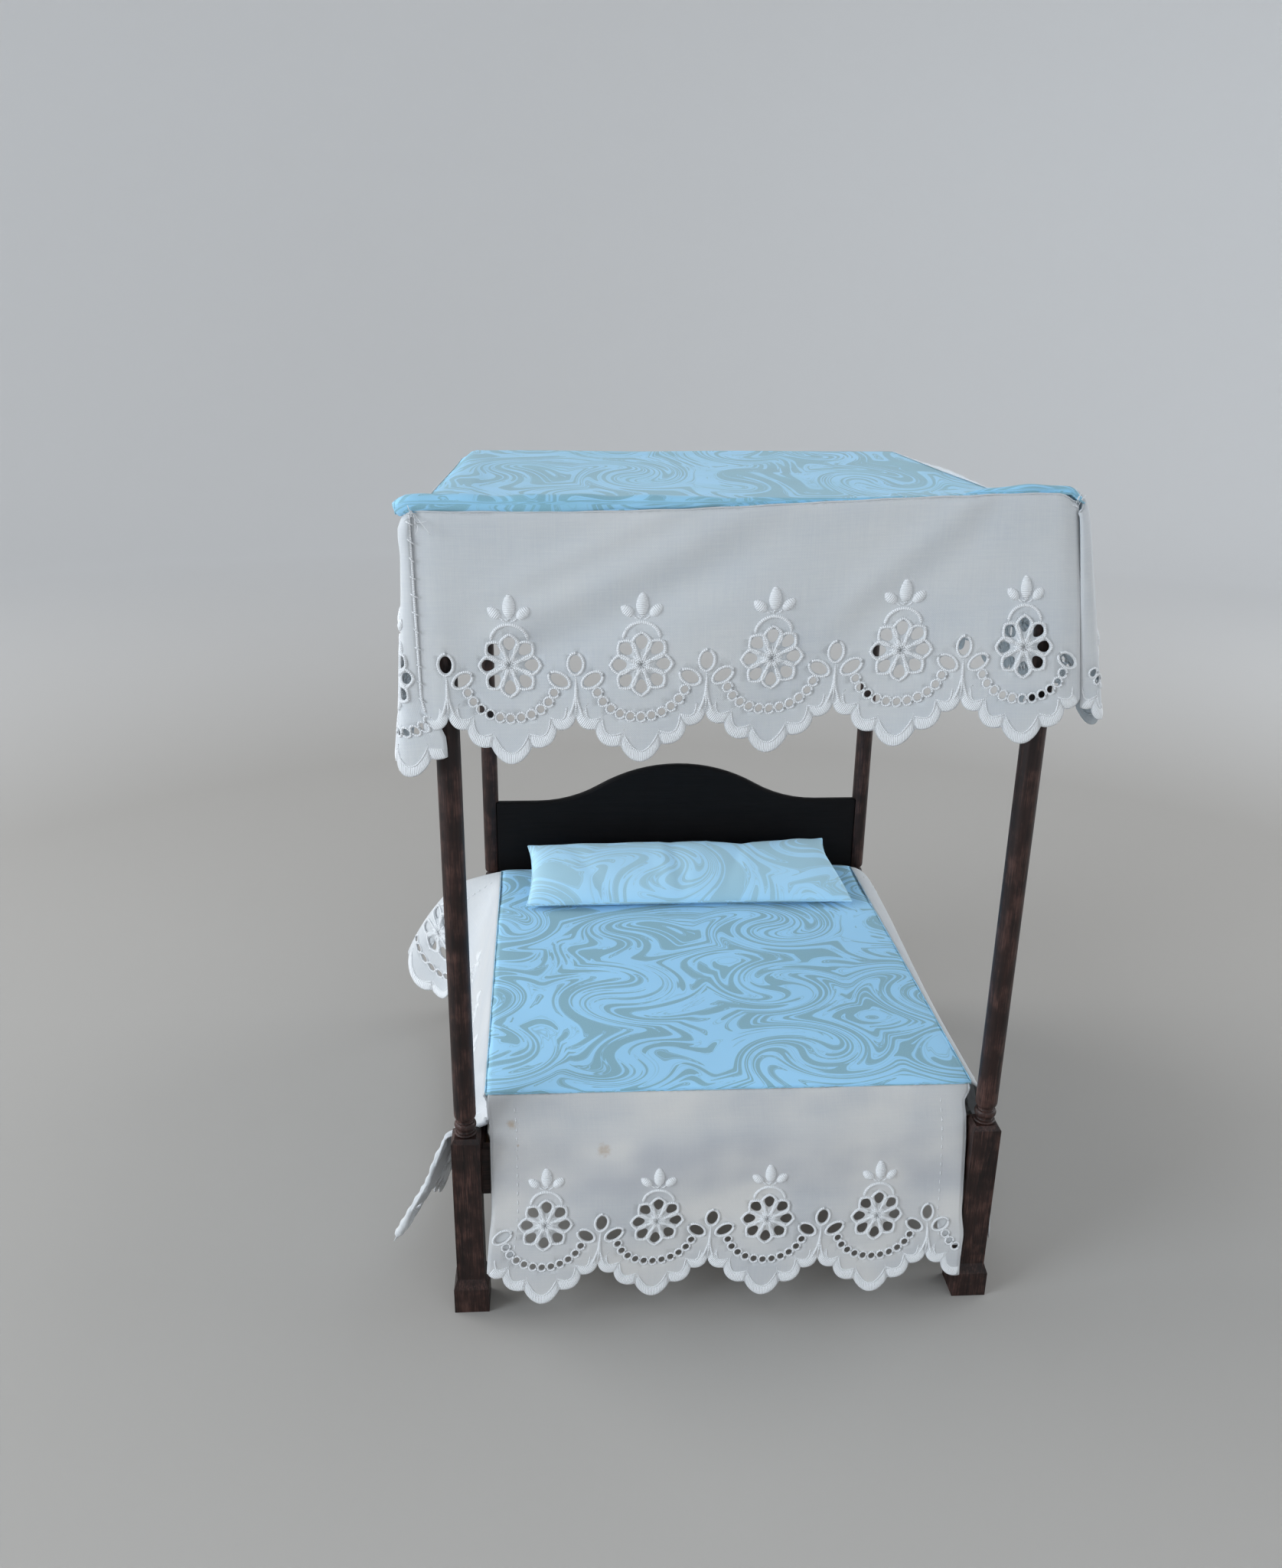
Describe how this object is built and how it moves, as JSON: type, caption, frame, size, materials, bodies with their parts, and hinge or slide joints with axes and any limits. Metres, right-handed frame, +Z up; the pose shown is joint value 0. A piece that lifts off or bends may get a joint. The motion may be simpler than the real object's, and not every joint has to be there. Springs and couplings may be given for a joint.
{
  "type": "miniature four poster bed",
  "caption": "Dolls' house four poster bed with turned posts, arched headboard, tester frame, lace-trimmed canopy and coverlet, mattress and pillow.",
  "frame": {"origin": "on the floor, midway between the four post axes", "axes": "+X to the right side seen from the foot, +Y towards the head, +Z up"},
  "size_m": [0.1621, 0.1688, 0.206],
  "materials": {
    "walnut_stain": "dark walnut stain with a low satin sheen and open grain",
    "headboard_stain": "near black stain, satin",
    "raw_wood": "plain unfinished strip wood",
    "pin_steel": "plain wire",
    "printed_cotton": "light blue cotton with a grey green marbled print",
    "white_cotton": "white cotton broderie anglaise",
    "mattress_cotton": "off-white plain cotton"
  },
  "bodies": {
    "frame": {"post_front_left": "walnut_stain", "post_front_right": "walnut_stain", "post_back_left": "walnut_stain", "post_back_right": "walnut_stain", "head_rail": "walnut_stain", "foot_rail": "walnut_stain", "side_rail_left": "walnut_stain", "side_rail_right": "walnut_stain", "tester_rail_front": "walnut_stain", "tester_rail_back": "walnut_stain", "tester_rail_left": "walnut_stain", "tester_rail_right": "walnut_stain", "headboard": "headboard_stain", "ledger_left": "raw_wood", "ledger_right": "raw_wood", "slats": "raw_wood", "tester_pins": "pin_steel"},
    "mattress": {"mattress": "mattress_cotton"},
    "coverlet": {"coverlet_panel": "printed_cotton", "coverlet_drop_front": "white_cotton", "coverlet_drop_left": "white_cotton", "coverlet_drop_right": "white_cotton"},
    "pillow": {"pillow": "printed_cotton"},
    "canopy": {"canopy_panel": "printed_cotton", "canopy_valance_front": "white_cotton", "canopy_valance_back": "white_cotton", "canopy_valance_left": "white_cotton", "canopy_valance_right": "white_cotton"}
  },
  "joints": [
    {"name": "mattress_lift", "type": "slide", "parent": "frame", "child": "mattress", "axis": [0, 0, 1], "range_m": [0, 0.025]},
    {"name": "coverlet_lift", "type": "slide", "parent": "mattress", "child": "coverlet", "axis": [0, 0, 1], "range_m": [0, 0.03]},
    {"name": "pillow_lift", "type": "slide", "parent": "coverlet", "child": "pillow", "axis": [0, 0, 1], "range_m": [0, 0.04]},
    {"name": "canopy_lift", "type": "slide", "parent": "frame", "child": "canopy", "axis": [0, 0, 1], "range_m": [0, 0.07]}
  ]
}
